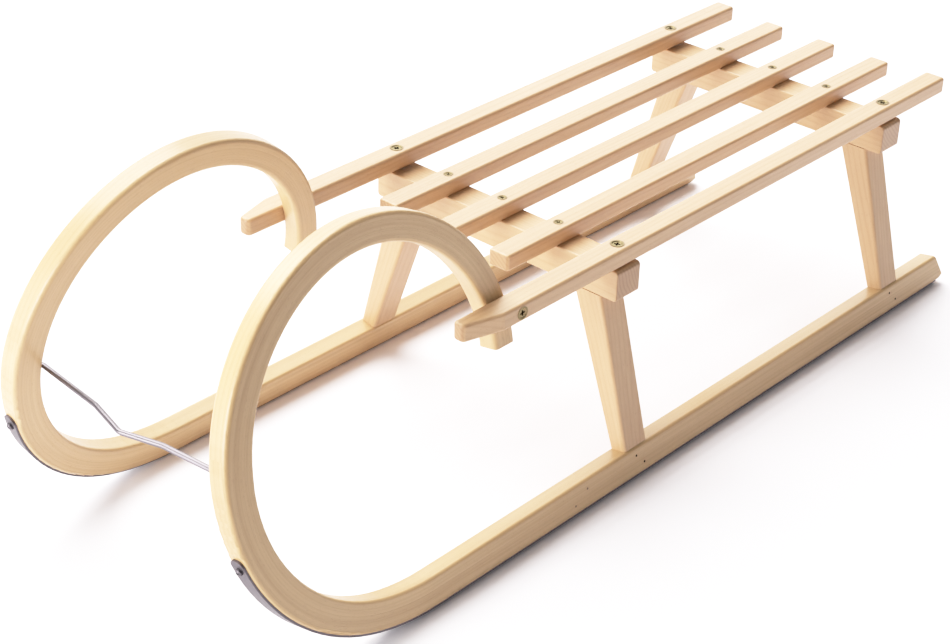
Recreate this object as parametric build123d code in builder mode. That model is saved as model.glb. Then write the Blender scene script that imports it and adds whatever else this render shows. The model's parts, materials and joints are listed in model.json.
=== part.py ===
"""Wooden sled with two bent horns, five seat slats and a steel tow rod. Units are millimetres.

+X points forward to the horns, +Y to the sled's left and +Z up. The origin is on the ground, in the middle of the
sled's length and width. The left runner, shoe, legs and outer slat are modelled, and the right ones are mirrored.
"""
import os
from math import acos, cos, degrees, radians, sin, tan

from build123d import *

os.makedirs("parts", exist_ok=True)

# Overall sizes
LENGTH = 1000.0
WIDTH = 359.5
SEAT_Z = 230.5

# Runner: a laminated bar that lies in a plane leaning inward
LEAN = 11.7
RUNNER_W = 21.0
RUNNER_H = 29.0
RUNNER_ROUND = 3.5
REAR_RAKE = 11.0
REAR_CHAMFER_X = 8.0
REAR_CHAMFER_V = 5.0

# Bend of the runner, as pairs of centreline radius and turn in degrees, from the ground up and back to the seat
BEND = [(230.0, 16.0), (163.5, 144.0), (146.0, 50.0), (158.0, 60.0)]
EXACT_TURN = 92.0

# Horn: past EXACT_TURN the bar draws in toward the seat, thins and stands up straighter
HORN_SECTIONS = 9
DRAW_POWER = 1.3
TIP_H = 23.8
TIP_LEAN = 8.0

# Steel shoe under each runner
SHOE_T = 2.0
SHOE_W = 15.0
SHOE_TURN = 75.5
SHOE_ROUND = 6.5
SHOE_SCREW_TURN = 72.0
SHOE_HOLE_D = 3.6

# Crossbars
BAR_SPACING = 430.0
BAR_LENGTH = 300.0
BAR_X = 33.0
BAR_Z = 31.0
BAR_TOP_ROUND = 4.0
BAR_LOW_ROUND = 10.0
BAR_EDGE = 1.5

# Slats, with their ends measured from the crossbars' middles
INNER_T = 16.0
OUTER_T = 17.3
SLAT_PITCH = 68.5
SLAT_W = 23.5
SLAT_INSET = 1.0
SLAT_REAR = 99.0
INNER_FRONT = 85.6
NOSE_FRONT = 206.0
NOSE_CUT = 40.0
NOSE_W = 12.5
NOSE_ROUND = 5.0
NOSE_SHOULDER = 30.0
INNER_EDGE = 2.5
OUTER_EDGE = 3.0
SLAT_CORNER = 3.5
WASHER_T = 2.5
WASHER_D = 14.0

# Screw holes
SCREW_AHEAD = 3.5
SIDE_SCREW_BEHIND = 7.3
OUTER_HEAD_D = 9.6
INNER_HEAD_D = 6.4
OUTER_HOLE_D = 4.4
INNER_HOLE_D = 3.6
PILOT_D = 3.0
PILOT_DEPTH = 15.0
HEAD_ANGLE = 90.0

# Legs and their tenons; the tops are measured from the crossbar's end, the feet from the runner's edges
LEG_X = 32.0
LEG_TOP_INSET = 17.5
LEG_TOP_Y = 32.2
FOOT_OUT = 2.0
FOOT_IN = 1.0
LEG_EDGE = 3.0
TENON_X = 18.0
TOP_TENON_Y = 18.0
TOP_TENON_Z = 20.0
FOOT_TENON_W = 10.0
FOOT_TENON_V = 14.0
CHEEK_GAP = 0.1
TIP_GAP = 1.0

# Depth of the flat on the horn where the outer slat is screwed on
HOUSING = 1.0

# Tow rod, with its shoulder and tip measured from the hooked end
ROD_D = 5.0
ROD_HEIGHT = 181.6
ROD_BEHIND = 5.5
ROD_SHOULDER_X = 13.3
ROD_SHOULDER_Y = 42.0
ROD_SHOULDER_Z = 5.3
ROD_TIP_X = 23.3
ROD_TIP_Z = 3.7
ROD_DEPTH = 13.0
ROD_BENDS = [5.5, 14.0, 9.0, 14.0, 5.5]
ROD_GAP = 0.1

# Positions that follow from the sizes above
REAR_X = -LENGTH / 2
BAR_REAR = REAR_X + SLAT_INSET + SLAT_REAR
BAR_FRONT = BAR_REAR + BAR_SPACING
BAR_TOP = SEAT_Z - INNER_T
BAR_LOW = BAR_TOP - BAR_Z
LEG_SHIFT = (BAR_X - LEG_X) / 2
LEG_TOP_OUT = BAR_LENGTH / 2 - LEG_TOP_INSET
LEG_TOP_IN = LEG_TOP_OUT - LEG_TOP_Y
LEG_TOP_MID = LEG_TOP_OUT - LEG_TOP_Y / 2
OUTER_TOP = BAR_TOP + WASHER_T + OUTER_T
OUTER_Y = 2 * SLAT_PITCH
OUTER_IN_Y = OUTER_Y - SLAT_W / 2
FULL_H = RUNNER_H + SHOE_T
MID_V = SHOE_T + RUNNER_H / 2
FOOT_Y = WIDTH / 2 + (SHOE_T + RUNNER_ROUND) * sin(radians(LEAN)) - RUNNER_ROUND * (1 - cos(radians(LEAN)))
FOOT_Z = (RUNNER_W + SHOE_W) / 2 * sin(radians(LEAN))
TOTAL_TURN = sum(turn for radius, turn in BEND)
LEAD_R, LEAD_TURN = BEND[0]
MAIN_R = BEND[1][0]
LAST_R, LAST_TURN = BEND[-1]
BEND_X = LENGTH / 2 - RUNNER_H / 2 - LEAD_R * sin(radians(LEAD_TURN)) - MAIN_R * (1 - sin(radians(LEAD_TURN)))
HALF_Y = RUNNER_W / 2 * cos(radians(LEAN))
HALF_Z = RUNNER_W / 2 * sin(radians(LEAN))

# Middle plane of the left runner: local X forward, local Y up along the lean and local Z inward
LEANED = Plane(
    origin=(0, FOOT_Y - HALF_Y, FOOT_Z - HALF_Z),
    x_dir=(1, 0, 0),
    z_dir=(0, -cos(radians(LEAN)), -sin(radians(LEAN))),
)


def bend_point(turn):
    """Centreline place (x, v) in the leaned plane, and the arc length so far, at a turn in degrees."""
    x, v, run, angle = BEND_X, MID_V, 0.0, 0.0
    for radius, arc in BEND:
        step = max(0.0, min(arc, turn - angle))
        a0, a1 = radians(angle), radians(angle + step)
        x += radius * (sin(a1) - sin(a0))
        v += radius * (cos(a0) - cos(a1))
        run += radius * (a1 - a0)
        angle += step
    return x, v, run


def leaned_height(z):
    """Place along the leaned plane of a height above the ground, on the middle plane."""
    return (z - FOOT_Z + HALF_Z) / cos(radians(LEAN))


def drawn(turn):
    """Share of the horn's length that lies before a turn."""
    first = bend_point(EXACT_TURN)[2]
    last = bend_point(TOTAL_TURN)[2]
    return max(0.0, (bend_point(turn)[2] - first) / (last - first))


def horn_lean(turn):
    return LEAN + (TIP_LEAN - LEAN) * drawn(turn)


# Turn at which the horn passes the outer slat, and how far it has to draw in to meet it there
SLAT_MID_Z = OUTER_TOP - OUTER_T / 2
TOUCH_V = leaned_height(SLAT_MID_Z)
LAST_START = TOTAL_TURN - LAST_TURN
TOUCH_COS = cos(radians(LAST_START)) - (TOUCH_V - bend_point(LAST_START)[1]) / LAST_R
TOUCH_TURN = 360.0 - degrees(acos(TOUCH_COS))
TOUCH_X = bend_point(TOUCH_TURN)[0]
SIDE_SCREW_X = TOUCH_X - SIDE_SCREW_BEHIND
FREE_Y = FOOT_Y - HALF_Y - TOUCH_V * sin(radians(LEAN))
TOUCH_Y = OUTER_IN_Y + HOUSING - RUNNER_W / 2 * cos(radians(horn_lean(TOUCH_TURN)))
DRAW_IN = (FREE_Y - TOUCH_Y) / drawn(TOUCH_TURN) ** DRAW_POWER

# Turn at which the horn is as high as the tow rod
ROD_COS = cos(radians(LEAD_TURN)) - (leaned_height(ROD_HEIGHT) - bend_point(LEAD_TURN)[1]) / MAIN_R
ROD_TURN = degrees(acos(ROD_COS))


def horn_point(turn):
    """Centre of the bar at a turn, with its inward draw."""
    x, v, run = bend_point(turn)
    base = LEANED.from_local_coords((x, v, 0))
    return Vector(base.X, base.Y - DRAW_IN * drawn(turn) ** DRAW_POWER, base.Z)


# Straight end of the tow rod, just behind the horn's concave face
ROD_END_X = horn_point(ROD_TURN).X - RUNNER_H / 2 - ROD_BEHIND
ROD_END_Y = horn_point(ROD_TURN).Y


def horn_plane(turn):
    """Plane across the bar at a turn: local X outward and local Y to the inside of the loop."""
    tangent = LEANED.x_dir * cos(radians(turn)) + LEANED.y_dir * sin(radians(turn))
    if turn > EXACT_TURN:
        side = min(turn + 0.05, TOTAL_TURN)
        tangent = (horn_point(side) - horn_point(side - 0.1)).normalized()
    lean = radians(horn_lean(turn))
    out = Vector(0, cos(lean), sin(lean))
    out = (out - tangent * out.dot(tangent)).normalized()
    return Plane(origin=horn_point(turn), x_dir=out, z_dir=tangent)


def bar_path(start_x, end_turn):
    """Centreline from the straight run's start up to a turn, as one line and tangent arcs."""
    with BuildLine(LEANED) as path:
        Line((start_x, MID_V), (BEND_X, MID_V))
        angle = 0.0
        for radius, arc in BEND:
            step = min(arc, end_turn - angle)
            if step > 0:
                ends = [bend_point(angle + step * share)[:2] for share in (0, 0.5, 1)]
                ThreePointArc(*ends)
            angle += step
    return path.wire()


def bar_start(x):
    """Plane across the straight run at x: local X outward and local Y up along the lean."""
    return Plane(origin=LEANED.from_local_coords((x, MID_V, 0)), x_dir=LEANED.z_dir * -1, z_dir=(1, 0, 0))


def shoe_plane(turn):
    """Plane on the shoe's outer face at a turn, facing out: local X inward across the bar."""
    out = LEANED.x_dir * sin(radians(turn)) - LEANED.y_dir * cos(radians(turn))
    face = LEANED.from_local_coords((*bend_point(turn)[:2], 0)) + out * (FULL_H - RUNNER_H / 2)
    return Plane(origin=face, x_dir=LEANED.z_dir, z_dir=out)


def rounded_path(points, radii):
    """Wire of straight runs through the points, with a tangent arc at each inner one."""
    points = [Vector(*point) for point in points]
    with BuildLine() as path:
        start = points[0]
        for before, corner, after, radius in zip(points, points[1:], points[2:], radii):
            into = (corner - before).normalized()
            away = (after - corner).normalized()
            half = radians(into.get_angle(away)) / 2
            cut = radius * tan(half)
            middle = corner + (away - into).normalized() * (radius / cos(half) - radius)
            Line(start, corner - into * cut)
            ThreePointArc(corner - into * cut, middle, corner + away * cut)
            start = corner + away * cut
        Line(start, points[-1])
    return path.wire()


def side_plane(x):
    """Plane across the sled at x: local X along the sled's width and local Y up."""
    return Plane(origin=(x, 0, 0), x_dir=(0, 1, 0), z_dir=(1, 0, 0))


def foot_plane(x):
    """Plane of a leg's foot on the runner, facing into the wood: local X forward."""
    return Plane(origin=LEANED.from_local_coords((x, FULL_H, 0)), x_dir=(1, 0, 0), z_dir=LEANED.y_dir * -1)


def top_plane(x, y):
    """Plane of a leg's top under its crossbar, facing up."""
    return Plane(origin=(x, y, BAR_LOW), x_dir=(1, 0, 0), z_dir=(0, 0, 1))


SCREW_XS = [BAR_REAR + SCREW_AHEAD, BAR_FRONT + SCREW_AHEAD]
SLAT_YS = [SLAT_PITCH * step for step in (-2, -1, 0, 1, 2)]

# Left runner: the flat part of the bar, then the horn
with BuildPart() as runner_left:
    with BuildSketch(bar_start(REAR_X)):
        RectangleRounded(RUNNER_W, RUNNER_H, RUNNER_ROUND)
    sweep(path=bar_path(REAR_X, EXACT_TURN))
    for index in range(HORN_SECTIONS):
        turn = EXACT_TURN + (TOTAL_TURN - EXACT_TURN) * index / (HORN_SECTIONS - 1)
        with BuildSketch(horn_plane(turn)):
            RectangleRounded(RUNNER_W, RUNNER_H + (TIP_H - RUNNER_H) * drawn(turn), RUNNER_ROUND)
    loft()
    # Raked rear end with a chamfer below
    with BuildSketch(LEANED):
        with BuildLine():
            Polyline(
                (REAR_X - 1, 0),
                (REAR_X + REAR_CHAMFER_X, 0),
                (REAR_X + REAR_CHAMFER_X, SHOE_T),
                (REAR_X, SHOE_T + REAR_CHAMFER_V),
                (REAR_X + REAR_RAKE, FULL_H),
                (REAR_X + REAR_RAKE, FULL_H + 1),
                (REAR_X - 1, FULL_H + 1),
                close=True,
            )
        make_face()
    extrude(amount=RUNNER_W, both=True, mode=Mode.SUBTRACT)
    # Mortises for the feet
    for bar_x in (BAR_REAR, BAR_FRONT):
        with BuildSketch(foot_plane(bar_x + LEG_SHIFT)):
            Rectangle(TENON_X + 2 * CHEEK_GAP, FOOT_TENON_W + 2 * CHEEK_GAP)
        extrude(amount=FOOT_TENON_V + TIP_GAP, mode=Mode.SUBTRACT)
    # Flat for the outer slat, with the side screw's pilot hole
    with Locations((TOUCH_X, OUTER_Y, SLAT_MID_Z)):
        Box(3 * SLAT_W, SLAT_W, OUTER_T, mode=Mode.SUBTRACT)
    with Locations(Plane(origin=(SIDE_SCREW_X, OUTER_IN_Y, SLAT_MID_Z), x_dir=(1, 0, 0), z_dir=(0, 1, 0))):
        Hole(PILOT_D / 2, PILOT_DEPTH)
    # Pilot hole for the shoe's screw
    with Locations(shoe_plane(SHOE_SCREW_TURN)):
        Hole(PILOT_D / 2, PILOT_DEPTH)
    # Hole in the concave face for the tow rod's hooked end
    with BuildSketch(Plane(origin=(ROD_END_X, ROD_END_Y, ROD_HEIGHT), x_dir=(0, 1, 0), z_dir=(1, 0, 0))):
        Circle(ROD_D / 2 + ROD_GAP)
    extrude(amount=ROD_BEHIND + ROD_DEPTH + TIP_GAP, mode=Mode.SUBTRACT)
runner_left.part.label = "runner_left"
export_step(runner_left.part, "parts/runner_left.step")

# Left shoe: a thin strip under the bar that ends as a rounded tongue on the bend, with a screw hole
with BuildPart() as shoe_left:
    with BuildSketch(bar_start(REAR_X + REAR_CHAMFER_X)):
        with Locations((0, -(RUNNER_H + SHOE_T) / 2)):
            Rectangle(SHOE_W, SHOE_T)
    sweep(path=bar_path(REAR_X + REAR_CHAMFER_X, SHOE_TURN))
    thin_edges = shoe_left.edges().filter_by(lambda edge: edge.length < SHOE_W / 2)
    fillet(thin_edges.sort_by(Axis.Z)[-2:], SHOE_ROUND)
    with Locations(shoe_plane(SHOE_SCREW_TURN)):
        Hole(SHOE_HOLE_D / 2, 2 * SHOE_T)
shoe_left.part.label = "shoe_left"
export_step(shoe_left.part, "parts/shoe_left.step")

# Left legs: splayed, wider at the top than at the foot, with a tenon at each end
legs = {}
for place, bar_x in (("front", BAR_FRONT), ("rear", BAR_REAR)):
    foot_out = LEANED.from_local_coords((0, FULL_H, FOOT_OUT - RUNNER_W / 2))
    foot_in = LEANED.from_local_coords((0, FULL_H, RUNNER_W / 2 - FOOT_IN))
    leg_x = bar_x + LEG_SHIFT
    with BuildPart() as leg_left:
        with BuildSketch(side_plane(leg_x - LEG_X / 2)):
            with BuildLine():
                Polyline(
                    (LEG_TOP_IN, BAR_LOW),
                    (LEG_TOP_OUT, BAR_LOW),
                    (foot_out.Y, foot_out.Z),
                    (foot_in.Y, foot_in.Z),
                    close=True,
                )
            make_face()
        extrude(amount=LEG_X)
        fillet(leg_left.edges().filter_by(lambda edge: edge.length > BAR_LOW / 2), LEG_EDGE)
        with BuildSketch(top_plane(leg_x, LEG_TOP_MID)):
            Rectangle(TENON_X, TOP_TENON_Y)
        extrude(amount=TOP_TENON_Z)
        with BuildSketch(foot_plane(leg_x)):
            Rectangle(TENON_X, FOOT_TENON_W)
        extrude(amount=FOOT_TENON_V)
    leg_left.part.label = f"leg_{place}_left"
    legs[place] = leg_left.part
    export_step(leg_left.part, f"parts/leg_{place}_left.step")

# Crossbars, with mortises for the legs and pilot holes for the slats' screws
for place, bar_x in (("front", BAR_FRONT), ("rear", BAR_REAR)):
    with BuildPart() as crossbar:
        with BuildSketch(side_plane(bar_x - BAR_X / 2)) as bar_face:
            with Locations((0, BAR_LOW + BAR_Z / 2)):
                Rectangle(BAR_LENGTH, BAR_Z)
            corners = bar_face.vertices().group_by(Axis.Z)
            fillet(corners[-1], BAR_TOP_ROUND)
            fillet(corners[0], BAR_LOW_ROUND)
        extrude(amount=BAR_X)
        fillet(crossbar.faces().filter_by(Axis.X).edges(), BAR_EDGE)
        for y in (-LEG_TOP_MID, LEG_TOP_MID):
            with BuildSketch(top_plane(bar_x + LEG_SHIFT, y)):
                Rectangle(TENON_X + 2 * CHEEK_GAP, TOP_TENON_Y + 2 * CHEEK_GAP)
            extrude(amount=TOP_TENON_Z + TIP_GAP, mode=Mode.SUBTRACT)
        with Locations(*[(bar_x + SCREW_AHEAD, y, BAR_TOP) for y in SLAT_YS]):
            Hole(PILOT_D / 2, PILOT_DEPTH)
    crossbar.part.label = f"crossbar_{place}"
    export_step(crossbar.part, f"parts/crossbar_{place}.step")

# Three inner slats
for name, slat_y in (("slat_inner_left", SLAT_PITCH), ("slat_centre", 0.0), ("slat_inner_right", -SLAT_PITCH)):
    rear_x = BAR_REAR - SLAT_REAR
    front_x = BAR_FRONT + INNER_FRONT
    with BuildPart() as slat:
        with BuildSketch(Plane.XY.offset(BAR_TOP)):
            with Locations(((rear_x + front_x) / 2, slat_y)):
                RectangleRounded(front_x - rear_x, SLAT_W, SLAT_CORNER)
        extrude(amount=INNER_T)
        fillet(slat.faces().filter_by(Axis.Z).edges(), INNER_EDGE)
        with Locations(*[(x, slat_y, SEAT_Z) for x in SCREW_XS]):
            CounterSinkHole(INNER_HOLE_D / 2, INNER_HEAD_D / 2, INNER_T, HEAD_ANGLE)
    slat.part.label = name
    export_step(slat.part, f"parts/{name}.step")

# Left outer slat, with a nose cut on its outer side and the side screw's hole
with BuildPart() as slat_outer_left:
    nose_x = BAR_FRONT + NOSE_FRONT
    out_y = OUTER_Y + SLAT_W / 2
    with BuildSketch(Plane.XY.offset(BAR_TOP + WASHER_T)) as slat_outline:
        with BuildLine():
            Polyline(
                (BAR_REAR - SLAT_REAR, OUTER_IN_Y),
                (nose_x, OUTER_IN_Y),
                (nose_x, OUTER_IN_Y + NOSE_W),
                (nose_x - NOSE_CUT, out_y),
                (BAR_REAR - SLAT_REAR, out_y),
                close=True,
            )
        make_face()
        outline_corners = slat_outline.vertices().group_by(Axis.X)
        fillet(outline_corners[0], SLAT_CORNER)
        fillet(outline_corners[1], NOSE_SHOULDER)
        fillet(slat_outline.vertices().group_by(Axis.X)[-1], NOSE_ROUND)
    extrude(amount=OUTER_T)
    fillet(slat_outer_left.faces().filter_by(Axis.Z).edges(), OUTER_EDGE)
    with Locations(*[(x, OUTER_Y, OUTER_TOP) for x in SCREW_XS]):
        CounterSinkHole(OUTER_HOLE_D / 2, OUTER_HEAD_D / 2, OUTER_T, HEAD_ANGLE)
    with Locations(Plane(origin=(SIDE_SCREW_X, out_y, SLAT_MID_Z), x_dir=(1, 0, 0), z_dir=(0, 1, 0))):
        CounterSinkHole(OUTER_HOLE_D / 2, OUTER_HEAD_D / 2, SLAT_W, HEAD_ANGLE)
slat_outer_left.part.label = "slat_outer_left"
export_step(slat_outer_left.part, "parts/slat_outer_left.step")

# Washers that raise the outer slats a little above the crossbars
for place, screw_x in (("rear", SCREW_XS[0]), ("front", SCREW_XS[1])):
    for side, washer_y in (("left", OUTER_Y), ("right", -OUTER_Y)):
        with BuildPart() as washer:
            with BuildSketch(Plane.XY.offset(BAR_TOP)):
                with Locations((screw_x, washer_y)):
                    Circle(WASHER_D / 2)
                    Circle(OUTER_HOLE_D / 2, mode=Mode.SUBTRACT)
            extrude(amount=WASHER_T)
        washer.part.label = f"washer_{place}_{side}"
        export_step(washer.part, f"parts/washer_{place}_{side}.step")

# Tow rod: hooked into both horns and bent forward in the middle
rod_half = [
    (ROD_END_X + ROD_BEHIND + ROD_DEPTH, ROD_END_Y, ROD_HEIGHT),
    (ROD_END_X, ROD_END_Y, ROD_HEIGHT),
    (ROD_END_X + ROD_SHOULDER_X, ROD_SHOULDER_Y, ROD_HEIGHT + ROD_SHOULDER_Z),
]
rod_tip = (ROD_END_X + ROD_TIP_X, 0, ROD_HEIGHT + ROD_TIP_Z)
rod_other = [(x, -y, z) for x, y, z in reversed(rod_half)]
with BuildPart() as tow_rod:
    with BuildSketch(Plane(origin=rod_half[0], z_dir=(-1, 0, 0))):
        Circle(ROD_D / 2)
    sweep(path=rounded_path(rod_half + [rod_tip] + rod_other, ROD_BENDS))
tow_rod.part.label = "tow_rod"
export_step(tow_rod.part, "parts/tow_rod.step")

# Right-hand pieces
left_pieces = {
    "runner_right": runner_left.part,
    "shoe_right": shoe_left.part,
    "leg_front_right": legs["front"],
    "leg_rear_right": legs["rear"],
    "slat_outer_right": slat_outer_left.part,
}
for name, left_piece in left_pieces.items():
    with BuildPart() as right_piece:
        mirror(left_piece, about=Plane.XZ)
    right_piece.part.label = name
    export_step(right_piece.part, f"parts/{name}.step")
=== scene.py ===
# %% [markdown]
# This sled has two runners that curl up into horns, two steel shoes, four legs, two crossbars,
# five slats, four washers and a tow rod. Their shapes come from the CAD model, as a fixed frame
# of twenty nodes. They could be modelled again in Blender, but then every measure would stand in
# two places, so here they only get the finish of the real pieces. What this script adds are the
# screws, the pins and the studio. The CAD box is measured before anything is added, because
# nothing may make the sled bigger.

# %% Load the frame
import bpy
import json
from math import cos, pi, radians, sin
from mathutils import Matrix, Vector

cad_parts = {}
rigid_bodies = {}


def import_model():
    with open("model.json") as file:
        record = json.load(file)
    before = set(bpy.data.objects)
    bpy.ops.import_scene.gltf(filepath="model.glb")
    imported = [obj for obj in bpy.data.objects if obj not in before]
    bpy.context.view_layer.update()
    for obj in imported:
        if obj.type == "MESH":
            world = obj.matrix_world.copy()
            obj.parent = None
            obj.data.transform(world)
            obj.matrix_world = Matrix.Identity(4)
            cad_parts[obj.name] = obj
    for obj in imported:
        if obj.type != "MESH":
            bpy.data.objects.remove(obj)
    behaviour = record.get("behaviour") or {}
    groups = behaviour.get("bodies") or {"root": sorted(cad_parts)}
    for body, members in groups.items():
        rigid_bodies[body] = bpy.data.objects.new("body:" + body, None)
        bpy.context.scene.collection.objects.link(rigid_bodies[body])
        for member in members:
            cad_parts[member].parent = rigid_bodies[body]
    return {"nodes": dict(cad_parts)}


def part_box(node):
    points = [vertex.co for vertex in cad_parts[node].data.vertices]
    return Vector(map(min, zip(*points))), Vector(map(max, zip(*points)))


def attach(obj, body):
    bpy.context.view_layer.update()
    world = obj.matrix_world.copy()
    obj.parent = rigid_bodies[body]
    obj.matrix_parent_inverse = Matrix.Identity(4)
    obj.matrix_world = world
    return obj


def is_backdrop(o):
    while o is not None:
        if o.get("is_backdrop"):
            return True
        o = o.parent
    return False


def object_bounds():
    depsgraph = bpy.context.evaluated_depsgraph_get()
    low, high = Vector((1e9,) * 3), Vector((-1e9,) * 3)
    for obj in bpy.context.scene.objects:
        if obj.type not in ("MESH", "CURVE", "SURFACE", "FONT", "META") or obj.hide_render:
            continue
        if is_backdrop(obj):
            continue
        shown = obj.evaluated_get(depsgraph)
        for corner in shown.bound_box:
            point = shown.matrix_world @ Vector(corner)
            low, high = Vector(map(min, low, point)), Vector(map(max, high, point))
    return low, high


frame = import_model()
cad_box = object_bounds()
nodes = frame["nodes"]
bpy.ops.object.select_all(action="DESELECT")
print("nodes:", len(nodes), "length", round(cad_box[1][0] - cad_box[0][0], 3))

# %% [markdown]
# The photograph was taken from the front left with a long lens, from a little above. A camera
# could be turned by hand until the view looks right. This one was worked out from the places of
# the screws, slat ends and horns in the picture instead, so it stands at a real distance from
# the sled and has a real lens.

# %% Camera at the photograph's angle
IMAGE_W = 950
SENSOR_MM = 36.0
FOCAL_PX = 2066.6
CAMERA_AT = Vector((1.32557, 1.11987, 1.10430))
AZIMUTH, ELEVATION, ROLL = radians(131.64824), radians(30.539), radians(1.66325)


def camera_axes():
    """The camera's right, up and back directions, from its three angles."""
    level = cos(ELEVATION)
    back = Vector((sin(AZIMUTH) * level, -cos(AZIMUTH) * level, sin(ELEVATION)))
    level_right = Vector((cos(AZIMUTH), sin(AZIMUTH), 0))
    level_up = back.cross(level_right)
    right = level_right * cos(ROLL) + level_up * sin(ROLL)
    up = level_up * cos(ROLL) - level_right * sin(ROLL)
    return right, up, back


def add_camera():
    """Camera with the photograph's place, turn and focal length."""
    data = bpy.data.cameras.new("photo_camera")
    data.sensor_width = SENSOR_MM
    data.lens = FOCAL_PX / IMAGE_W * SENSOR_MM
    item = bpy.data.objects.new("photo_camera", data)
    turn = Matrix(camera_axes()).transposed().to_4x4()
    item.matrix_world = Matrix.Translation(CAMERA_AT) @ turn
    bpy.context.scene.collection.objects.link(item)
    return item


camera = add_camera()
bpy.context.scene.camera = camera
print("lens", round(camera.data.lens, 1), "mm")

# %% [markdown]
# A photograph keeps its middle tones and lets bright wood and white paper fade softly into
# white. Blender's film-like view does that too, but it greys the middle tones on the way. So the
# plain view is used, with one curve over it that bends only the bright end.

# %% Bright tones fade to white
# Light in the scene and the brightness that the picture shows for it, up to pure white
TONE_CURVE = [
    (0.0, 0.0), (0.25, 0.25), (0.5, 0.5), (0.75, 0.70),
    (1.0, 0.83), (1.3, 0.925), (1.55, 0.975), (1.8, 1.0),
]
ALL_COLOURS = 3  # the fourth curve of a curve mapping acts on red, green and blue together


def set_response():
    """Gives the picture the tone curve."""
    view = bpy.context.scene.view_settings
    view.view_transform = "Standard"
    view.use_curve_mapping = True
    brightest = TONE_CURVE[-1][0]
    view.curve_mapping.white_level = (brightest, brightest, brightest)
    points = view.curve_mapping.curves[ALL_COLOURS].points
    while len(points) < len(TONE_CURVE):
        points.new(0.5, 0.5)
    for point, (light, shown) in zip(points, TONE_CURVE):
        point.location = (light / brightest, shown)
    view.curve_mapping.update()


set_response()
print("tone curve with", len(TONE_CURVE), "points")

# %% [markdown]
# Shader maths could be drawn as a web of nodes, but a formula is easier to read. A Wire is one
# output socket of a material. Adding or multiplying wires adds the Math nodes, and the reflected
# forms let a plain number stand first, as in 1 - mask.

# %% One socket in a formula


class Wire:
    """One output socket, used in expressions."""

    def __init__(self, finish, socket):
        self.finish, self.socket = finish, socket

    def maths(self, operation, *others):
        return self.finish.add("ShaderNodeMath", {"operation": operation}, (self, *others))

    def __add__(self, other):
        return self.maths("ADD", other)

    def __mul__(self, other):
        return self.maths("MULTIPLY", other)

    def __sub__(self, other):
        return self.maths("SUBTRACT", other)

    def __rsub__(self, other):
        return self.finish.add("ShaderNodeMath", {"operation": "SUBTRACT"}, (other, self))

    def __truediv__(self, other):
        return self.maths("DIVIDE", other)

    def __gt__(self, other):
        return self.maths("GREATER_THAN", other)

    def __lt__(self, other):
        return self.maths("LESS_THAN", other)

    def __abs__(self):
        return self.maths("ABSOLUTE")

    def __pow__(self, power):
        return self.maths("POWER", power)

    __radd__ = __add__
    __rmul__ = __mul__


print("a formula on wires can use + - * / ** < > and abs()")

# %% [markdown]
# A Finish is one material. Its method add() makes any node from its type, its settings and the
# values or wires of its inputs, so that no other function needs to know how nodes are linked.
# The patterns read Object coordinates: a piece keeps its grain wherever the camera stands.

# %% One material


class Finish:
    """One node material."""

    def __init__(self, name):
        self.material = bpy.data.materials.new(name)
        self.material.use_nodes = True
        self.tree = self.material.node_tree
        self.shader = self.tree.nodes["Principled BSDF"]

    def add(self, kind, settings=None, values=(), out=0):
        """Any node: its type, its settings, then the values or wires of its inputs."""
        node = self.tree.nodes.new(kind)
        for key, value in (settings or {}).items():
            if key == "stops":
                self.set_stops(node.color_ramp, value)
            else:
                setattr(node, key, value)
        self.fill(node, values)
        return Wire(self, node.outputs[out])

    def fill(self, node, values):
        """Sets a node's inputs, from a list or from a dictionary of input names."""
        pairs = values.items() if isinstance(values, dict) else enumerate(values)
        for key, value in pairs:
            if isinstance(value, Wire):
                self.tree.links.new(value.socket, node.inputs[key])
            else:
                node.inputs[key].default_value = value

    def set_stops(self, ramp, stops):
        while len(ramp.elements) < len(stops):
            ramp.elements.new(0.5)
        for element, (place, grey) in zip(ramp.elements, stops):
            element.position = place
            element.color = (grey, grey, grey, 1)

    def ramp(self, value, *stops):
        """Grey ramp of a value, as pairs of place and shade."""
        return self.add("ShaderNodeValToRGB", {"stops": stops}, [value])

    def coordinate(self, kind):
        """A texture coordinate as three wires: Object is the place in metres, Normal the facing."""
        spot = self.add("ShaderNodeTexCoord", out=kind)
        split = self.add("ShaderNodeSeparateXYZ", values=[spot])
        outputs = split.socket.node.outputs
        return [Wire(self, outputs[axis]) for axis in range(3)]

    def noise(self, spot, detail, roughness=0.5):
        """Noise between 0 and 1 at a spot given as three wires, one cell to a unit."""
        vector = self.add("ShaderNodeCombineXYZ", values=spot)
        values = {"Vector": vector, "Scale": 1.0, "Detail": detail, "Roughness": roughness}
        return self.add("ShaderNodeTexNoise", {}, values)

    def mix(self, share, first, second):
        """Colour that goes from the first to the second as share goes from 0 to 1."""
        inputs = {0: share, 6: first, 7: second}
        return self.add("ShaderNodeMix", {"data_type": "RGBA"}, inputs, out=2)

    def bump(self, height, distance):
        """Lets the surface rise by up to distance, in metres, where height is 1."""
        values = {"Height": height, "Distance": distance, "Strength": 1.0}
        raised = self.add("ShaderNodeBump", {}, values)
        self.fill(self.shader, {"Normal": raised})


def shade(red, green, blue):
    """A colour given as 0 to 255 steps of a screen, in the linear values that a shader takes."""
    steps = [channel / 255 for channel in (red, green, blue)]
    linear = [((step + 0.055) / 1.055) ** 2.4 for step in steps]
    return (*linear, 1)


print("middle grey of a screen in a shader:", round(shade(128, 128, 128)[0], 3))

# %% [markdown]
# The wood is beech. A board is a piece cut out of a trunk, so its growth rings are circles round
# a pith that lies outside the board. An image of wood would look right on one face only. A sine
# of the distance from the pith fills the whole board, so it draws straight lines on one face,
# flame shapes on the next and arcs on the ends, as in a real board. Fine fibres and broader
# streaks are noise that is drawn out along the grain.

# %% Grain
RING_GAP, RING_SHARPNESS = 0.0038, 3.0
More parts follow.
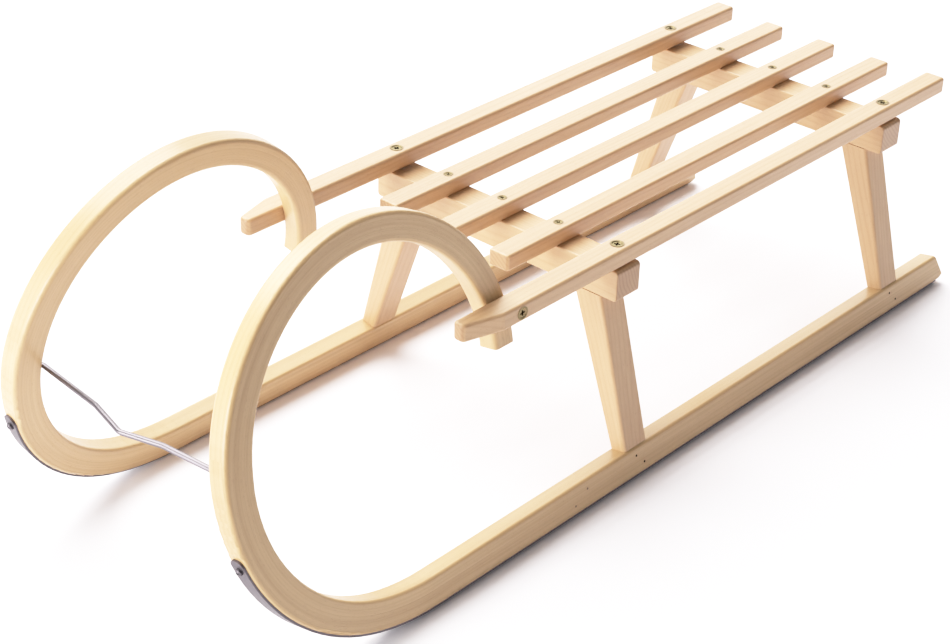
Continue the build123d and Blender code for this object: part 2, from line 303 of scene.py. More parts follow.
# The pith's place beside and below a board, each a least distance and a step
PITH_SIDE, PITH_DEPTH = (0.045, 0.02), (0.030, 0.017)
# Cells of noise in a metre, along the grain and across it
DRIFT_CELLS, DRIFT_SIZE = (5.0, 12.0), 0.012
WOBBLE_CELLS, WOBBLE_SIZE = (3.0, 60.0), 0.004
FIBRE_CELLS, STREAK_CELLS = (22.0, 900.0), (7.0, 210.0)
BROAD_CELLS, FLECK_CELLS = (4.0, 25.0), (330.0, 1500.0)


def grain_noise(finish, board, cells, shift, detail, roughness=0.5):
    """Noise that runs with the grain. Board is the place along, across and into the wood."""
    scales = (cells[0], cells[1], cells[1])
    spot = [wire * scale + step for wire, scale, step in zip(board, scales, shift)]
    return finish.noise(spot, detail, roughness)


def ring_lines(finish, board, seed):
    """Growth rings between 0 and 1. The seed gives each board its own place in the trunk."""
    pith_side = PITH_SIDE[0] + PITH_SIDE[1] * (seed % 3)
    pith_depth = PITH_DEPTH[0] + PITH_DEPTH[1] * (seed % 4)
    drift = grain_noise(finish, board, DRIFT_CELLS, (0, seed, 0), detail=2.0)
    wobble = grain_noise(finish, board, WOBBLE_CELLS, (0, 0, seed), detail=2.0)
    side = board[1] + pith_side + drift * DRIFT_SIZE
    down = board[2] + pith_depth
    radius = (side * side + down * down) ** 0.5
    rings = ((radius + wobble * WOBBLE_SIZE) * (2 * pi / RING_GAP)).maths("SINE")
    return (rings * 0.5 + 0.5) ** RING_SHARPNESS


print("rings to a centimetre:", round(0.01 / RING_GAP, 1))

# %% [markdown]
# Rings, fibres and streaks are added up to one tone, which mixes a pale and a deep colour. Beech
# has short dark flecks, and its cut ends soak up lacquer and look darker. Small specks, and the
# painted shade round the slats' screw heads, are dabs of a dark colour at one point. The clear
# lacquer is a coat over the wood. It could be a second shader, but the coat of the one shader does the same
# and is kept by the export.

# %% Lacquered beech
SAWN_WOOD = [shade(205, 168, 129), shade(177, 138, 97)]
BENT_WOOD = [shade(208, 174, 130), shade(180, 145, 100)]
FLECK_WOOD = shade(148, 108, 74)
END_WOOD = shade(158, 120, 84)
SPECK_AND_SHADE_WOOD = shade(92, 62, 42)
RING_SHARE, FIBRE_SHARE, STREAK_SHARE, BROAD_SHARE, TONE_DROP = 0.14, 0.30, 0.30, 0.40, 0.10
TONE_STOPS = [(0.15, 0.0), (0.85, 1.0)]
FLECK_STOPS, FLECK_SHARE = [(0.66, 0.0), (0.78, 1.0)], 0.2
SPECK_AND_SHADE_STOPS = [(0.44, 0.8), (0.56, 0.0)]
END_SHARE, END_RINGS = 0.65, 0.3
GLOSS, FIBRE_GLOSS = 0.36, 0.16
LACQUER = {"Coat Weight": 0.22, "Coat Roughness": 0.22, "IOR": 1.5}
GRAIN_RELIEF = 0.00015


def add_specks_and_shade(finish, colour, specks_and_shade):
    """Dark dabs for specks and for painted shade, given as pairs of a point on the sled and a radius."""
    for point, size in specks_and_shade:
        spot = zip(finish.coordinate("Object"), point)
        x, y, z = [(wire - value) / (2 * size) for wire, value in spot]
        far = (x * x + y * y + z * z) ** 0.5
        colour = finish.mix(finish.ramp(far, *SPECK_AND_SHADE_STOPS), colour, SPECK_AND_SHADE_WOOD)
    return colour


def paint_wood(finish, wood, board, seed, end_mask=None, layer_tone=None, specks_and_shade=()):
    """Colour and gloss of lacquered beech, from the place along, across and into the wood."""
    pale, deep = wood
    ring_line = ring_lines(finish, board, seed)
    fibre = grain_noise(finish, board, FIBRE_CELLS, (0, 0, seed), detail=3.0, roughness=0.6)
    streak = grain_noise(finish, board, STREAK_CELLS, (seed, 0, 0), detail=2.0)
    broad = grain_noise(finish, board, BROAD_CELLS, (0, 0, 3.0 * seed), detail=1.0)
    flecks = grain_noise(finish, board, FLECK_CELLS, (0, 0, seed), detail=0.0)
    fleck = finish.ramp(flecks, *FLECK_STOPS)
    tone = ring_line * RING_SHARE + fibre * FIBRE_SHARE + streak * STREAK_SHARE
    tone = tone + broad * BROAD_SHARE - TONE_DROP
    if layer_tone is not None:
        tone = tone + layer_tone
    colour = finish.mix(finish.ramp(tone, *TONE_STOPS), pale, deep)
    colour = finish.mix(fleck * FLECK_SHARE, colour, FLECK_WOOD)
    if end_mask is not None:
        colour = finish.mix(end_mask * (END_SHARE + ring_line * END_RINGS), colour, END_WOOD)
    colour = add_specks_and_shade(finish, colour, specks_and_shade)
    rough = GLOSS + fibre * FIBRE_GLOSS
    finish.fill(finish.shader, {"Base Color": colour, "Roughness": rough, **LACQUER})
    return fibre, ring_line, fleck


print("beech from", [round(part, 2) for part in SAWN_WOOD[0][:3]], "to",
      [round(part, 2) for part in SAWN_WOOD[1][:3]])

# %% [markdown]
# Slats, crossbars and legs are straight boards, and their grain runs along them. A texture could
# be turned by hand for each piece. Instead the place on a board is measured along its grain and
# along two directions square to it, so the same finish fits a slat, a crossbar and a splayed leg.
# A face that looks along the grain is a cut end.

# %% Straight boards
END_STOPS = [(0.55, 0.0), (0.85, 1.0)]
FIBRE_RAISED, RING_RAISED, FLECK_SUNK = 0.6, 0.3, 0.5


def board_finish(name, grain, seed, centre, specks_and_shade=()):
    """Finish of a board whose grain runs along the given direction, with its middle at centre."""
    finish = Finish(name)
    place = [wire - value for wire, value in zip(finish.coordinate("Object"), centre)]
    normal = finish.coordinate("Normal")
    grain = Vector(grain).normalized()
    second = Vector((0, 1, 0)) if abs(grain.y) < 0.9 else Vector((1, 0, 0))
    third = grain.cross(second).normalized()
    second = third.cross(grain)

    def along(wires, axis):
        return wires[0] * axis[0] + wires[1] * axis[1] + wires[2] * axis[2]

    board = [along(place, axis) for axis in (grain, second, third)]
    end_mask = finish.ramp(abs(along(normal, grain)), *END_STOPS)
    fibre, ring_line, fleck = paint_wood(finish, SAWN_WOOD, board, seed, end_mask, specks_and_shade=specks_and_shade)
    height = fibre * FIBRE_RAISED + ring_line * RING_RAISED - fleck * FLECK_SUNK
    finish.bump(height, GRAIN_RELIEF)
    return finish.material


def dress(name, material):
    """Gives a CAD node's own object one material."""
    slots = nodes[name].data.materials
    slots.clear()
    slots.append(material)


def middle(name):
    """Middle of a CAD node's box."""
    low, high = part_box(name)
    return (low + high) / 2


print("middle of the seat:", [round(value, 4) for value in middle("slat_centre")])

# %% [markdown]
# Round each screw in a slat the wood is painted a little dark, as shade in the gap between the
# head and the wood. Rings of their own could be laid round the heads, but painted shade has no
# thickness, so it is painted in the slat's own finish, at the screws' places.

# %% Slats and crossbars
SLATS = [
    "slat_outer_left", "slat_inner_left", "slat_centre", "slat_inner_right", "slat_outer_right",
]
CROSSBARS = ["crossbar_front", "crossbar_rear"]
SCREW_AHEAD = 0.0035
SCREW_XS = [middle(bar).x + SCREW_AHEAD for bar in CROSSBARS]
OUTER_HEAD_D, INNER_HEAD_D = 0.0126, 0.0088
# how far the painted shade round a screw's head reaches past its rim
SHADE_RING = 0.0005
# The first board's place in the trunk and the step to the next one
SLAT_SEED, SLAT_SEED_STEP = 11.3, 7.1
BAR_SEED, BAR_SEED_STEP = 52.7, 5.9


def slat_shade_rings(slat):
    """A ring of painted shade round each of a slat's two screws."""
    head_d = OUTER_HEAD_D if "outer" in slat else INNER_HEAD_D
    top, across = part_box(slat)[1].z, middle(slat).y
    return [(Vector((x, across, top)), head_d / 2 + SHADE_RING) for x in SCREW_XS]


for number, name in enumerate(SLATS):
    seed = SLAT_SEED + SLAT_SEED_STEP * number
    # each slat gets painted shade round its two screws
    wood = board_finish(name + "_wood", (1, 0, 0), seed, middle(name), slat_shade_rings(name))
    dress(name, wood)
for number, name in enumerate(CROSSBARS):
    seed = BAR_SEED + BAR_SEED_STEP * number
    dress(name, board_finish(name + "_wood", (0, 1, 0), seed, middle(name)))
print("dressed:", len(SLATS), "slats and", len(CROSSBARS), "crossbars, screws at x",
      [round(x, 4) for x in SCREW_XS])

# %% [markdown]
# The legs splay outward, and their grain splays with them, because a leg that was cut across
# the grain would split. The front left leg has a small dark chip near its top edge.

# %% Legs
LEGS = ["leg_front_left", "leg_rear_left", "leg_front_right", "leg_rear_right"]
LEG_SPLAY = Vector((0, 0.048, -0.148))
MIRRORED = Vector((1, -1, 1))
LEG_SEED, LEG_SEED_STEP = 71.9, 6.7
CHIP, CHIP_SIZE = Vector((0.0465, 0.1319, 0.1847)), 0.0012

for number, name in enumerate(LEGS):
    splay = LEG_SPLAY if name.endswith("left") else LEG_SPLAY * MIRRORED
    specks_and_shade = [(CHIP, CHIP_SIZE)] if name == "leg_front_left" else []
    seed = LEG_SEED + LEG_SEED_STEP * number
    dress(name, board_finish(name + "_wood", splay, seed, middle(name), specks_and_shade))
print("dressed:", len(LEGS), "legs")

# %% [markdown]
# A runner is glued up from thin strips that were bent together, so its grain and its glue lines
# follow the bend. A pattern with straight lines would run out of the bar in the horn. The bend is
# a straight run and four arcs that meet smoothly, the same ones as in the CAD model, and this
# cell works out where each arc has its centre, in the plane in which the runner leans.

# %% The runner's bend
LEAN = radians(11.7)
RUNNER_W, RUNNER_H, SHOE_T, SHOE_W = 0.021, 0.029, 0.002, 0.015
BEND = [
    (0.230, radians(16)), (0.1635, radians(144)), (0.146, radians(50)), (0.158, radians(60)),
]
MID_V = SHOE_T + RUNNER_H / 2
SOLE_Z = (SHOE_W / 2) * sin(LEAN)
SOLE_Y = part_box("shoe_left")[1].y - SHOE_W / 2 * cos(LEAN)


def bend_arcs():
    """For each arc: its centre in the leaned plane, radius, first turn and the length before it."""
    lead_radius, lead_turn = BEND[0]
    main_radius = BEND[1][0]
    front = cad_box[1][0] - RUNNER_H / 2
    x = front - lead_radius * sin(lead_turn) - main_radius * (1 - sin(lead_turn))
    v, turn, run, arcs = MID_V, 0.0, 0.0, []
    for radius, sweep in BEND:
        centre_x, centre_v = x - radius * sin(turn), v + radius * cos(turn)
        arcs.append((centre_x, centre_v, radius, turn, run))
        turn += sweep
        run += radius * sweep
        x, v = centre_x + radius * sin(turn), centre_v - radius * cos(turn)
    return arcs


ARCS = bend_arcs()
BEND_X = ARCS[0][0]
print("bend starts at x", round(BEND_X, 4), "and has", len(ARCS), "arcs")

# %% [markdown]
# Each arc turns a place on the bar into a length along it and a depth through its strips, as
# polar coordinates about the arc's centre. A UV map could hold the same two numbers, but it would
# have to be put on the CAD node's mesh, which stays as it is. bar_point goes the other way, from
# a place in the leaned plane to a point on the sled.

# %% Places on the bent bar
STRAIGHT_TOP = 0.06  # the straight run lies lower than this, and the horn's end above it
LEAST_TURN, MOST_TURN = radians(-30), radians(330)


def bar_spot(finish):
    """Length along the runner, place across it and depth through its strips, as wires."""
    x, y, z = finish.coordinate("Object")
    side = abs(y) - SOLE_Y
    up = z - SOLE_Z
    v = up * cos(LEAN) - side * sin(LEAN)
    across = side * cos(LEAN) + up * sin(LEAN)
    along, depth = x - BEND_X, v - MID_V
    straight = (v < STRAIGHT_TOP) * (x < BEND_X)
    for centre_x, centre_v, radius, first, run in ARCS:
        dx, dv = x - centre_x, centre_v - v
        turn = dx.maths("ARCTAN2", dv).maths("WRAP", MOST_TURN, LEAST_TURN)
        arc_depth = radius - (dx * dx + dv * dv) ** 0.5
        arc_along = (turn - first) * radius + run
        here = (turn > first) * (1 - straight)
        along = along + (arc_along - along) * here
        depth = depth + (arc_depth - depth) * here
    return along, across, depth


def bar_point(x, v, across=0.0):
    """Point of the left runner on the sled, from its place in the leaned plane."""
    y = SOLE_Y + across * cos(LEAN) - v * sin(LEAN)
    z = SOLE_Z + across * sin(LEAN) + v * cos(LEAN)
    return Vector((x, y, z))


foot = bar_point(middle("leg_front_left").x, MID_V, RUNNER_W / 2)
print("runner's outer side at the front leg:", [round(value, 3) for value in foot])

# %% [markdown]
# The strips come from different boards, so each has its own tone, and thin darker lines of glue
# lie between them. The far runner is paler than the near one in the photograph, partly in its own
# wood and partly as painted light, for the brighter light that falls on it. The near one has
# three small dark specks on its outer side.

# %% Laminated runners
STRIPS = 7
STRIP_CONTRAST, GLUE_CONTRAST = 0.16, 0.14
STRIP_SHIFT = 0.03  # each strip shows another part of the trunk
GLUE_STOPS = [(0.46, 0.0), (0.49, 1.0)]
STRIP_FIBRE_RAISED, GLUE_SUNK, STRIP_FLECK_SUNK = 0.5, 0.6, 0.4
SPECKS = [(0.1046, 0.0211), (0.1226, 0.0113), (0.2285, 0.3122)]
SPECK_SIZE = 0.0011
# The right runner's paler tone is partly its own wood and partly painted light
LEFT_SEED, RIGHT_SEED, RIGHT_PALER_WOOD_AND_LIGHT = 3.7, 9.1, 0.12


def runner_finish(name, seed, paler_wood_and_light=0.0, specks_and_shade=()):
    """Beech in glued strips that follow the bend."""
    finish = Finish(name)
    along, across, depth = bar_spot(finish)
    level = (depth + RUNNER_H / 2) * (STRIPS / RUNNER_H)
    strip = level.maths("FLOOR")
    in_strip = level.maths("FRACT")
    own = finish.add("ShaderNodeTexWhiteNoise", {"noise_dimensions": "1D"}, {"W": strip + seed})
    glue = finish.ramp(abs(in_strip - 0.5), *GLUE_STOPS)
    tone = own * STRIP_CONTRAST - STRIP_CONTRAST / 2 + glue * GLUE_CONTRAST - paler_wood_and_light
    board = (along, across, depth + strip * STRIP_SHIFT)
    marks = paint_wood(finish, BENT_WOOD, board, seed, layer_tone=tone, specks_and_shade=specks_and_shade)
    fibre, _, fleck = marks
    height = fibre * STRIP_FIBRE_RAISED - glue * GLUE_SUNK - fleck * STRIP_FLECK_SUNK
    finish.bump(height, GRAIN_RELIEF)
    return finish.material


left_specks = [(bar_point(x, v, RUNNER_W / 2), SPECK_SIZE) for x, v in SPECKS]
dress("runner_left", runner_finish("runner_left_wood", LEFT_SEED, specks_and_shade=left_specks))
dress("runner_right", runner_finish("runner_right_wood", RIGHT_SEED, paler_wood_and_light=RIGHT_PALER_WOOD_AND_LIGHT))
print("dressed: 2 runners of", STRIPS, "strips")

# %% [markdown]
# The shoes are cold rolled strip, the washers and the tow rod are zinc plated, and the screws are
# plated yellow. Rolled steel is dull, with long scratches from the snow. Scratches could be cut
# into the mesh, but they are far too fine, so they are noise that is drawn out along the piece
# and changes its colour, its gloss and, very slightly, its relief.

# %% Steel
WORN_DARKER = 0.72
CLOUD_CELLS = 60.0
LINE_SHARE, CLOUD_SHARE = 0.7, 0.3
WORN_STOPS = [(0.3, 0.0), (0.7, 1.0)]
SCRATCH_RELIEF = 0.00004


def steel_finish(name, base, rough, cells, scratch):
    """Bare or plated steel. Cells of scratches in a metre along X, Y and Z."""
    finish = Finish(name)
    place = finish.coordinate("Object")
    cloud = finish.noise([wire * CLOUD_CELLS for wire in place], detail=3.0)
    spot = [wire * count for wire, count in zip(place, cells)]
    line = finish.noise(spot, detail=2.0, roughness=0.65)
    worn = finish.ramp(line * LINE_SHARE + cloud * CLOUD_SHARE, *WORN_STOPS)
    dark = tuple(channel * WORN_DARKER for channel in base[:3]) + (1,)
    colour = finish.mix(worn, dark, base)
    values = {"Base Color": colour, "Metallic": 1.0, "Roughness": rough + scratch * line}
    finish.fill(finish.shader, values)
    finish.bump(line, SCRATCH_RELIEF)
    return finish.material


shoe_steel = steel_finish(
    "shoe_steel", shade(112, 106, 110), rough=0.40, cells=(30.0, 900.0, 60.0), scratch=0.18)
rod_steel = steel_finish(
    "rod_steel", shade(124, 118, 122), rough=0.36, cells=(60.0, 20.0, 60.0), scratch=0.06)
zinc_steel = steel_finish(
    "zinc_steel", shade(170, 168, 162), rough=0.32, cells=(400.0, 400.0, 400.0), scratch=0.1)
yellow_zinc = steel_finish(
    "yellow_zinc", shade(136, 121, 86), rough=0.34, cells=(500.0, 500.0, 500.0), scratch=0.1)
# A dark colour painted as shade in the screws' cross recesses, also used for the pin ends
recess_grime = steel_finish(
    "recess_grime", shade(44, 34, 26), rough=0.7, cells=(500.0, 500.0, 500.0), scratch=0.2)
steel_of = {"shoe": shoe_steel, "tow": rod_steel, "washer": zinc_steel}
for name in nodes:
    kind = name.split("_")[0]
    if kind in steel_of:
        dress(name, steel_of[kind])
print("dressed:", sum(name.split("_")[0] in steel_of for name in nodes), "steel pieces")

# %% [markdown]
# The fasteners are modelled as by hand: a primitive is shaped in edit mode, and modifiers are
# applied. An edit acts on all that is selected, so the first helper selects faces by their place
# and direction and nothing else. The edges get a small bevel, because a real edge is never
# perfectly sharp and catches a thin line of light.

# %% Helpers for shaping
EDGE_STEPS = 2


def select_faces(item, test):
    """Selects only the faces whose centre and normal pass the test, in edit mode."""
    bpy.ops.object.mode_set(mode="EDIT")
    bpy.ops.mesh.select_mode(type="FACE")
    bpy.ops.mesh.select_all(action="DESELECT")
    bpy.ops.object.mode_set(mode="OBJECT")
    for face in item.data.polygons:
        face.select = test(face.center, face.normal)
    bpy.ops.object.mode_set(mode="EDIT")


def apply_modifiers(item):
    """Turns an object's modifiers into mesh."""
    bpy.context.view_layer.objects.active = item
    for modifier in list(item.modifiers):
        bpy.ops.object.modifier_apply(modifier=modifier.name)


def soften(item, width):
    """Rounds the sharp edges a little."""
    edge = item.modifiers.new("edge", "BEVEL")
    edge.width = width
    edge.segments = EDGE_STEPS
    edge.limit_method = "ANGLE"
    apply_modifiers(item)


print("helpers ready, selected objects:", len(bpy.context.selected_objects))

# %% [markdown]
# A driver grips a screw in a cross recess. It could be painted on, but light falls into a real
# recess, so it is cut. The cutter is a bar and a copy of it at a right angle, and a boolean takes
# them out of the head.

# %% Cross recess


def cut_cross(item, arm, wide, depth):
    """Cuts a cross recess into a head, down to depth below z = 0."""
    bpy.ops.object.select_all(action="DESELECT")
    bpy.ops.mesh.primitive_cube_add(size=1)
    cutter = bpy.context.object
    cutter.scale = (arm, wide, 2 * depth)
    bpy.ops.object.transform_apply(scale=True)
    bpy.ops.object.mode_set(mode="EDIT")
    bpy.ops.mesh.select_all(action="SELECT")
    bpy.ops.mesh.duplicate()
    bpy.ops.transform.rotate(value=pi / 2, orient_axis="Z", center_override=(0, 0, 0))
    bpy.ops.object.mode_set(mode="OBJECT")
    cut = item.modifiers.new("recess", "BOOLEAN")
    cut.object = cutter
    cut.operation = "DIFFERENCE"
    cut.solver = "EXACT"
    cut.use_self = True
    apply_modifiers(item)
    bpy.data.objects.remove(cutter)


print("meshes before the screws:", len(bpy.data.meshes))

# %% [markdown]
# Countersunk screws hold the slats, and round-head screws hold the shoes. A thread would be
# hidden in the wood, so the shank is plain. A head starts as a thin disc, which becomes its
# rim. The top face is inset and lowered to a shallow dish, or raised in steps to a dome. The
# lower face is inset to the size of the hole and extruded to a cone and a shank.

# %% Head and shank
# Measures of a screw as shares of its head's diameter
FLAT_RIM, DOME_RIM = 0.03, 0.26
DISH_EDGE, DISH_WALL, DISH_DEPTH = 0.10, 0.06, 0.05
DOME_INSETS = (0.08, 0.08, 0.05)
DOME_RISE = 0.22  # of the rim's height at each inset
RECESS_ARM, RECESS_WIDE, RECESS_DEPTH = 0.46, 0.15, 0.16
SHADE_REACH, SHADE_BELOW = 0.26, 0.09  # faces this near the axis and this far down get the painted shade
EDGE_ROUND = 0.008
HEAD_SIDES = 40
FACES_UP = 0.9  # least Z of the normal of a face that looks up


def shape_top(screw, head_d, rim, dome):
    """Lowers the top of a head to a dish, or raises it to a dome."""
    select_faces(screw, lambda centre, normal: normal.z > FACES_UP)
    if dome:
        for share in DOME_INSETS:
            bpy.ops.mesh.inset(thickness=head_d * share)
            bpy.ops.transform.translate(value=(0, 0, rim * DOME_RISE))
    else:
        bpy.ops.mesh.inset(thickness=head_d * DISH_EDGE)
        bpy.ops.mesh.inset(thickness=head_d * DISH_WALL)
        bpy.ops.transform.translate(value=(0, 0, -head_d * DISH_DEPTH))


def draw_shank(screw, head_d, hole_d, shank_d, length):
    """Draws the underside of a head out to a cone and a shank."""
    cone = (hole_d - shank_d) / 2
    narrow = shank_d / hole_d
    select_faces(screw, lambda centre, normal: normal.z < -FACES_UP)
    bpy.ops.mesh.inset(thickness=(head_d - hole_d) / 2)
    bpy.ops.mesh.extrude_region_move(TRANSFORM_OT_translate={"value": (0, 0, -cone)})
    bpy.ops.transform.resize(value=(narrow, narrow, 1))
    bpy.ops.mesh.extrude_region_move(TRANSFORM_OT_translate={"value": (0, 0, cone - length)})
    bpy.ops.object.mode_set(mode="OBJECT")


print("a screw's head has", HEAD_SIDES, "sides and", len(DOME_INSETS), "steps to its dome")

# %% [markdown]
# Now the parts come together: a disc, its top, its shank, the cross recess and a soft edge. The
# faces down in the recess get the second material, a dark colour painted in as shade, and the
# rest keeps the plating. Wood screws of different sizes could be scaled from one, but then their
# recesses and edges would be scaled too, so each size is made from its own measures.

# %% Three sizes of screw
RECESS_FLOOR = 1.1  # the lowest face with painted shade, as a share of the recess


def new_screw(name, head_d, hole_d, shank_d, length, dome=False):
    """Cross-head screw whose rim rests on the surface at z = 0, with a flat or a round head."""
    rim = head_d * (DOME_RIM if dome else FLAT_RIM)
    bpy.ops.object.select_all(action="DESELECT")
    bpy.ops.mesh.primitive_cylinder_add(
        vertices=HEAD_SIDES, radius=head_d / 2, depth=rim, location=(0, 0, rim / 2))
    screw = bpy.context.object
    screw.name = name
    bpy.ops.object.transform_apply(location=True)
    shape_top(screw, head_d, rim, dome)
    draw_shank(screw, head_d, hole_d, shank_d, length)
    top = max(vertex.co.z for vertex in screw.data.vertices)
    recess = top + head_d * RECESS_DEPTH
    cut_cross(screw, head_d * RECESS_ARM, head_d * RECESS_WIDE, recess)
    # Faces down in the cross recess get the second material, painted shade
    for face in screw.data.polygons:
        in_height = -recess * RECESS_FLOOR < face.center.z < top - head_d * SHADE_BELOW
        face.material_index = int(in_height and face.center.xy.length < head_d * SHADE_REACH)
    soften(screw, head_d * EDGE_ROUND)
    return screw


outer_screw = new_screw(
    "outer_screw_pattern", OUTER_HEAD_D, hole_d=0.0090, shank_d=0.0040, length=0.030)
inner_screw = new_screw(
    "inner_screw_pattern", INNER_HEAD_D, hole_d=0.0058, shank_d=0.0030, length=0.028)
shoe_screw = new_screw(
    "shoe_screw_pattern", head_d=0.0068, hole_d=0.0034, shank_d=0.0028, length=0.014, dome=True)
print("faces of an outer slat's screw:", len(outer_screw.data.polygons))

# %% [markdown]
# What repeats is modelled once and copied. Each copy has its own mesh with its place in it, and
# its object stays at the origin, as a CAD node's does, so a pattern on Object coordinates never
# slides. Every copy rides on the sled's body and gets the materials it is given.

# %% Screws in the slats
# The plating, and the dark second material painted as shade in the cross recess
SCREW_FINISH = [yellow_zinc, recess_grime]
FIRST_SPIN, SPIN_STEP = 0.4, 1.1  # no two cross recesses stand alike


def drive(pattern, name, point, out, spin, materials):
    """Copies a fastener to a point, with its top facing out, turned about its own axis by spin."""
    item = bpy.data.objects.new(name, pattern.data.copy())
    bpy.context.scene.collection.objects.link(item)
    aimed = Vector(out).to_track_quat("Z", "X").to_matrix().to_4x4()
    item.data.transform(Matrix.Translation(point) @ aimed @ Matrix.Rotation(spin, 4, "Z"))
    item.data.materials.clear()
    for material in materials:
        item.data.materials.append(material)
    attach(item, "root")


spin = FIRST_SPIN
for bar, screw_x in zip(("front", "rear"), SCREW_XS):
    for slat in SLATS:
        top = Vector((screw_x, middle(slat).y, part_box(slat)[1].z))
        pattern = outer_screw if "outer" in slat else inner_screw
        name = f"screw_{bar}_{slat[5:]}"
        drive(pattern, name, top, (0, 0, 1), spin, SCREW_FINISH)
        spin += SPIN_STEP
print("slat screws:", 2 * len(SLATS))

# %% [markdown]
# An outer slat is also screwed to its horn from the side, near the nose. It is the same screw as
# on top, now facing out, half way up the slat.

# %% Screws in the sides
SIDE_SCREW_X, SIDE_SPIN = 0.1733, 0.15
SIDES = [("left", 1), ("right", -1)]

for side, sign in SIDES:
    low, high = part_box(f"slat_outer_{side}")
    face_y = high.y if sign > 0 else low.y
    place = Vector((SIDE_SCREW_X, face_y, (low.z + high.z) / 2))
    drive(outer_screw, f"screw_side_{side}", place, (0, sign, 0), SIDE_SPIN,
          SCREW_FINISH)
print("side screws:", len(SIDES))

# %% [markdown]
# One round-head screw holds the rounded end of each shoe on the bend. It stands square to the
# bar, so its place is worked out on the main arc: at a turn of 72 degrees from the ground, on the
# shoe's outer face.

# %% Screws in the shoes
SHOE_SCREW_TURN, SHOE_SPIN = radians(72), 0.5
main_x, main_v, main_radius = ARCS[1][:3]
face_radius = main_radius + RUNNER_H / 2 + SHOE_T
ahead, below = sin(SHOE_SCREW_TURN), cos(SHOE_SCREW_TURN)
head_spot = bar_point(main_x + face_radius * ahead, main_v - face_radius * below)
facing_out = bar_point(ahead, -below) - bar_point(0, 0)

# Each shoe screw takes the shoe's steel, with painted shade in its cross recess
for side, sign in SIDES:
    mirror = Vector((1, sign, 1))
    drive(shoe_screw, f"shoe_screw_{side}", head_spot * mirror, facing_out * mirror, SHOE_SPIN,
          [shoe_steel, recess_grime])
print("shoe screws:", len(SIDES), "at a height of", round(head_spot.z, 3))

# %% [markdown]
# Two steel pins go through each runner and the foot of each leg. Only their ends show, as small
# dots on the runner's outer side. A dot could be painted, but a pin stands a little proud of the
# wood, so it is a short cylinder with a rounded rim.

# %% Pins
PIN_D, PIN_LENGTH, PIN_PROUD, PIN_RIM, PIN_SIDES = 0.0024, 0.012, 0.0002, 0.12, 16
PIN_SPOTS = [(0.0030, 0.0225), (-0.0075, 0.0120)]
side_out = bar_point(0, 0, 1) - bar_point(0, 0)

bpy.ops.object.select_all(action="DESELECT")
bpy.ops.mesh.primitive_cylinder_add(
    vertices=PIN_SIDES, radius=PIN_D / 2, depth=PIN_LENGTH, location=(0, 0, -PIN_LENGTH / 2))
pin = bpy.context.object
bpy.ops.object.transform_apply(location=True)
soften(pin, PIN_D * PIN_RIM)
for leg in ("front", "rear"):
    leg_x = middle(f"leg_{leg}_left").x
    for number, (ahead, up) in enumerate(PIN_SPOTS):
        place = bar_point(leg_x + ahead, up, RUNNER_W / 2 + PIN_PROUD)
        for side, sign in SIDES:
            mirror = Vector((1, sign, 1))
            drive(pin, f"pin_{leg}_{side}_{number}", place * mirror, side_out * mirror, 0,
                  [recess_grime])
for pattern in (outer_screw, inner_screw, shoe_screw, pin):
    bpy.data.objects.remove(pattern)
kinds = ("screw", "shoe_screw", "pin")
fasteners = [item for item in bpy.data.objects if item.name.startswith(kinds)]
faces = sum(len(item.data.polygons) for item in fasteners)
print("fasteners:", len(fasteners), "with", faces, "faces")

# %% [markdown]
# The sled stands on white paper that runs far out of view. White paper also throws light back, so
# a floor that is white all over makes the sled's near sides as bright as its tops. A black board
# could stand beside the camera, as in a studio. Here the paper itself turns dark well before it
# reaches the camera, outside the photograph's view, which leaves the near sides a shade deeper.

# %% Floor
FLOOR_SIZE, PAPER_ROUGH = 24.0, 0.7
WHITE_PAPER, DARK_PAPER = (0.96, 0.93, 0.97, 1), (0.08, 0.08, 0.08, 1)
PAPER_REACH = 2.0
PAPER_EDGE = [(0.22, 0.0), (0.95, 1.0)]  # where it starts and ends, as shares of the reach


def add_floor():
    """Large floor that isn't part of the sled."""
    bpy.ops.object.select_all(action="DESELECT")
    bpy.ops.mesh.primitive_plane_add(size=FLOOR_SIZE)
    item = bpy.context.object
    item.name = "studio_floor"
    finish = Finish("white_floor")
    x, y, z = finish.coordinate("Object")
    toward_camera = (x * CAMERA_AT.x + y * CAMERA_AT.y) / CAMERA_AT.xy.length
    past_edge = finish.ramp(toward_camera * (1 / PAPER_REACH), *PAPER_EDGE)
    colour = finish.mix(past_edge, WHITE_PAPER, DARK_PAPER)
    finish.fill(finish.shader, {"Base Color": colour, "Roughness": PAPER_ROUGH})
    item.data.materials.append(finish.material)
    item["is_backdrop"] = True


add_floor()
print("floor:", FLOOR_SIZE, "m wide")

# %% [markdown]
# The photograph's light is high, very soft and comes from the sled's far side, so the tops are
# bright, the near sides are deeper and the shadows are faint. A small lamp would draw hard
# shadows. A sun that is about fifty degrees wide draws soft ones at any distance. A disc in
# front lifts the horns' front faces, one behind lifts the ends, and the sky fills the rest.

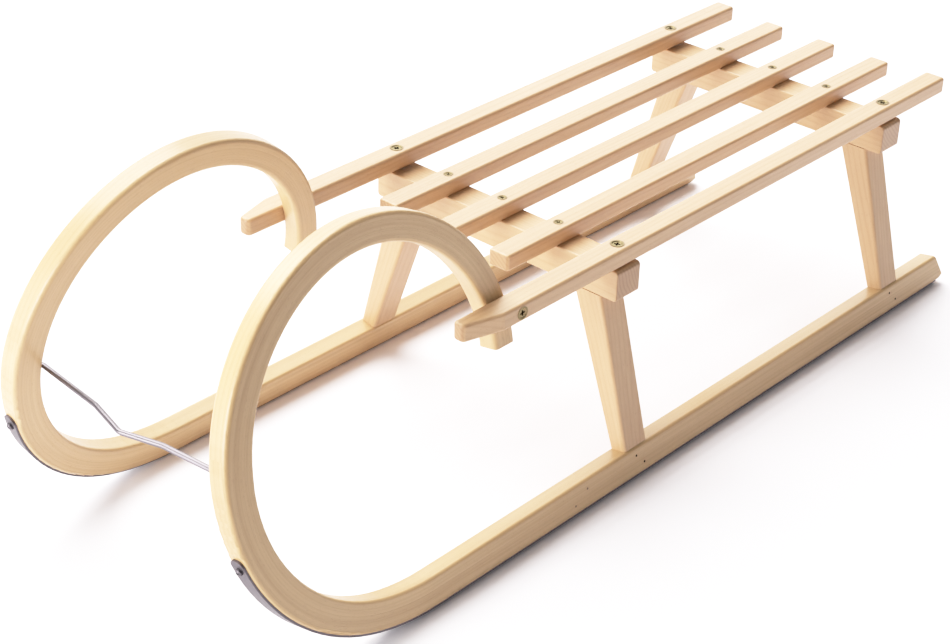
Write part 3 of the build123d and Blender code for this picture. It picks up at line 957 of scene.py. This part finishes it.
# %% Light
SUN_TOWARD, SUN_ANGLE, SUN_STRENGTH = (-0.08, -0.56, 0.82), 52, 6.4
SKY_COLOUR, SKY_STRENGTH = (1.0, 0.99, 0.985, 1), 0.30


def place_light(name, data, matrix):
    """Puts a light into the scene."""
    item = bpy.data.objects.new(name, data)
    item.matrix_world = matrix
    bpy.context.scene.collection.objects.link(item)


def add_light(name, place, aim, size, watts):
    """Round soft light at a place, aimed at a point."""
    data = bpy.data.lights.new(name, "AREA")
    data.shape = "DISK"
    data.size = size
    data.energy = watts
    aimed = (Vector(aim) - Vector(place)).to_track_quat("-Z", "Y").to_matrix().to_4x4()
    place_light(name, data, Matrix.Translation(place) @ aimed)


def add_sun(name, toward, angle, strength):
    """Sun that stands in the direction toward, as wide as angle in degrees."""
    data = bpy.data.lights.new(name, "SUN")
    data.angle = radians(angle)
    data.energy = strength
    place_light(name, data, Vector(toward).to_track_quat("Z", "Y").to_matrix().to_4x4())


def add_sky():
    """Even light from all round."""
    world = bpy.data.worlds.new("studio")
    bpy.context.scene.world = world
    world.use_nodes = True
    background = world.node_tree.nodes["Background"]
    background.inputs["Color"].default_value = SKY_COLOUR
    background.inputs["Strength"].default_value = SKY_STRENGTH


add_sun("high_sun", SUN_TOWARD, SUN_ANGLE, SUN_STRENGTH)
add_light("front_light", place=(3.3, -0.55, 0.75), aim=(0, 0, 0.1), size=2.0, watts=160)
add_light("back_light", place=(-2.6, -2.3, 1.5), aim=(0, 0, 0.2), size=3.0, watts=60)
add_sky()
print("lights:", len(bpy.data.lights))

# %% [markdown]
# Last, the box of the dressed sled is set against the CAD box. The sizes are kept as plain lists,
# and the printed growth shows whether the screws and pins have made the sled bigger.

# %% Sizes and finish
sizes = {"cad": [list(corner) for corner in cad_box], "visual": [list(corner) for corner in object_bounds()]}
corners = zip(sizes["cad"], sizes["visual"])
growth = max(abs(new - old) for was, now in corners for old, new in zip(was, now))
print("the dressed sled's box has grown by", round(growth * 1000, 2), "mm")
